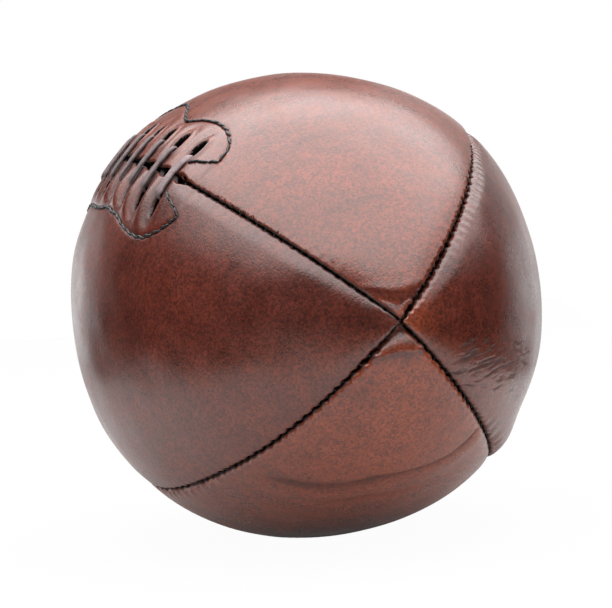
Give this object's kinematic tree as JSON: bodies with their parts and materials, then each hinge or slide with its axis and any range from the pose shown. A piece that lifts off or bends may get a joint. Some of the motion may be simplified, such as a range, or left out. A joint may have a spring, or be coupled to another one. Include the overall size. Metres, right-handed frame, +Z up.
{
  "type": "american football",
  "caption": "Old-style leather football: sewn lengthwise panels over a lining and an inflated bladder, closed by a laced slit.",
  "frame": {"origin": "centre of the ball, midway between its tips", "axes": "+X along the long axis to the tip that faces the picture, +Z up with the ball lying on its bottom panel, the laced seam up and to -Y"},
  "size_m": [0.2758, 0.1824, 0.1814],
  "materials": {
    "cover_leather": "worn, semi-gloss, fine grain, dark reddish brown",
    "inner_leather": "undyed flesh side, matt",
    "lace_leather": "rawhide thong, purple-grey brown, satin",
    "black_thread": "waxed linen thread",
    "lining_canvas": "plain woven canvas",
    "bladder_rubber": "soft red rubber, matt",
    "stopper_wood": "turned, smooth"
  },
  "bodies": {
    "ball": {"panel_top": "cover_leather", "panel_left": "cover_leather", "panel_bottom": "cover_leather", "panel_right": "cover_leather", "lining_top": "lining_canvas", "lining_left": "lining_canvas", "lining_bottom": "lining_canvas", "lining_right": "lining_canvas", "seam_thread_upper_right": "black_thread", "seam_thread_upper_left_front": "black_thread", "seam_thread_upper_left_back": "black_thread", "seam_thread_lower_left": "black_thread", "seam_thread_lower_right": "black_thread", "lace": "lace_leather", "lace_patch_top": "inner_leather", "lace_patch_left": "inner_leather", "patch_stitching_top": "black_thread", "patch_stitching_left": "black_thread", "tongue": "inner_leather", "end_patch_front": "inner_leather", "end_patch_back": "inner_leather", "bladder": "bladder_rubber", "bladder_neck": "bladder_rubber"},
    "stopper": {"neck_stopper": "stopper_wood"}
  },
  "joints": [
    {"name": "stopper_pull", "type": "slide", "parent": "ball", "child": "stopper", "axis": [1, 0, 0], "range_m": [0, 0.01]}
  ]
}
